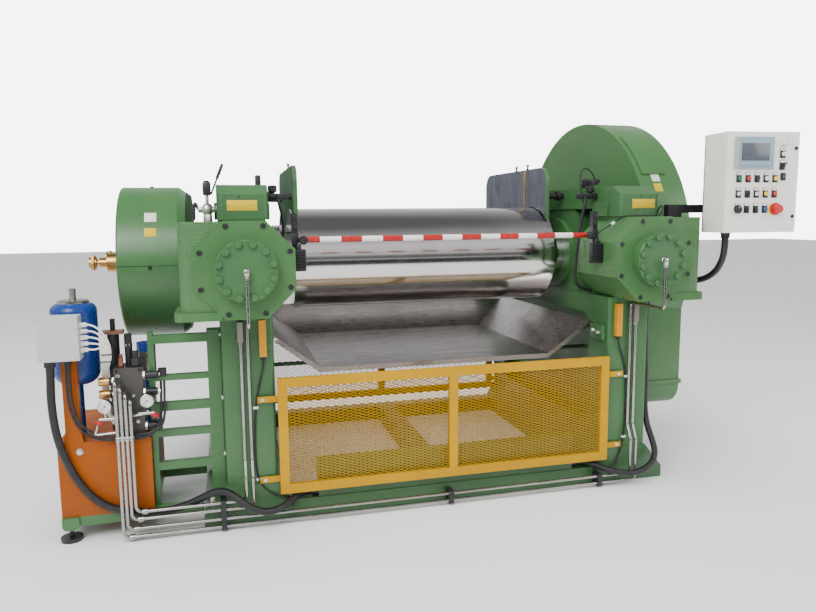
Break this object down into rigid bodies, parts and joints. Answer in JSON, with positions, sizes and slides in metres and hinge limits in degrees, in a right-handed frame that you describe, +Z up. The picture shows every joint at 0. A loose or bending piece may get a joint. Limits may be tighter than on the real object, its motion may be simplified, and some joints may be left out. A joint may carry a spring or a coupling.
{
  "type": "two-roll open rubber mill",
  "caption": "Open rubber mill stand: steel rolls in cast side frames with nip cylinders, gear covers, guard, tray, hydraulic unit and control panel.",
  "frame": {"origin": "on the floor below the nip, midway between the side frames, on the underside of the base's centre tie", "axes": "+X along the rolls towards the bull gear cover, +Y from the front to the back, +Z up"},
  "size_m": [3.6458, 2.1495, 2.073],
  "materials": {
    "black_metal": "satin black",
    "blue_paint": "gloss",
    "brass": "machined",
    "cream_paint": "powder coat",
    "dark_steel": "dark grey block",
    "green_paint": "semi-gloss enamel over rough casting",
    "grey_plastic": "matte",
    "hose_rubber": "satin",
    "orange_paint": "semi-gloss enamel",
    "pipe_steel": "drawn tube",
    "red_plastic": "gloss",
    "red_white": "red and white bands",
    "roll_steel": "ground and polished chilled iron",
    "stainless": "brushed sheet",
    "yellow_paint": "semi-gloss enamel"
  },
  "bodies": {
    "frame": {"accumulator": "blue_paint", "back_rotary_union": "brass", "base_centre_tie": "green_paint", "base_fascia": "green_paint", "base_front_rail": "green_paint", "base_rear_rail": "green_paint", "box_post": "orange_paint", "catch_tray": "stainless", "column_pipes": "green_paint", "column_switches": "yellow_paint", "cover_hatch": "green_paint", "floor_pipes": "pipe_steel", "front_guard": "yellow_paint", "guard_mesh": "yellow_paint", "guide_rods": "black_metal", "hose_glands": "black_metal", "left_back_chock": "green_paint", "left_cap": "green_paint", "left_cylinder_cover": "green_paint", "left_cylinder_housing": "green_paint", "left_gear_cover": "green_paint", "left_side_frame": "green_paint", "left_stock_guide": "green_paint", "lever_pins": "black_metal", "manifold_block": "dark_steel", "motor_hose": "hose_rubber", "oil_tank": "orange_paint", "panel_arm": "black_metal", "panel_box": "cream_paint", "panel_hose": "hose_rubber", "pipe_clamps": "green_paint", "pump_motor": "blue_paint", "rear_guard": "yellow_paint", "return_filter": "black_metal", "right_back_chock": "green_paint", "right_cap": "green_paint", "right_cylinder_cover": "green_paint", "right_cylinder_housing": "green_paint", "right_gear_cover": "green_paint", "right_gear_sump": "green_paint", "right_side_frame": "green_paint", "right_stock_guide": "green_paint", "riser_pipes": "pipe_steel", "service_rack": "green_paint", "tank_frame": "green_paint", "terminal_box": "grey_plastic", "tray_arms": "green_paint", "valves_and_gauges": "black_metal"},
    "nip_carriage": {"left_front_chock": "green_paint", "right_front_chock": "green_paint", "nip_rams": "pipe_steel", "front_rotary_union": "brass"},
    "front_roll": {"front_roll": "roll_steel"},
    "back_roll": {"back_roll": "roll_steel"},
    "safety_bar": {"safety_bar": "red_white", "bar_levers": "black_metal"},
    "panel_door": {"panel_door": "cream_paint", "panel_screen": "grey_plastic", "panel_buttons": "black_metal", "stop_button": "red_plastic"}
  },
  "joints": [
    {"name": "nip_slide", "type": "slide", "parent": "frame", "child": "nip_carriage", "axis": [0, -1, 0], "range_m": [0, 0.01]},
    {"name": "front_roll_spin", "type": "hinge", "parent": "nip_carriage", "child": "front_roll", "pos_m": [0, -0.278, 1.258], "axis": [1, 0, 0], "continuous": true},
    {"name": "back_roll_spin", "type": "hinge", "parent": "frame", "child": "back_roll", "pos_m": [0, 0.278, 1.258], "axis": [1, 0, 0], "continuous": true},
    {"name": "safety_bar_trip", "type": "hinge", "parent": "frame", "child": "safety_bar", "pos_m": [0, -0.918, 1.29], "axis": [-1, 0, 0], "range_deg": [0, 5], "stiffness_Nm_per_rad": 260, "springref_deg": -3.44},
    {"name": "panel_door_hinge", "type": "hinge", "parent": "frame", "child": "panel_door", "pos_m": [1.32285, -1.22666, 1.64], "axis": [0, 0, -1], "range_deg": [0, 110]}
  ],
  "couplings": [
    {"joint": "front_roll_spin", "follows": "back_roll_spin", "ratio": -0.85}
  ]
}
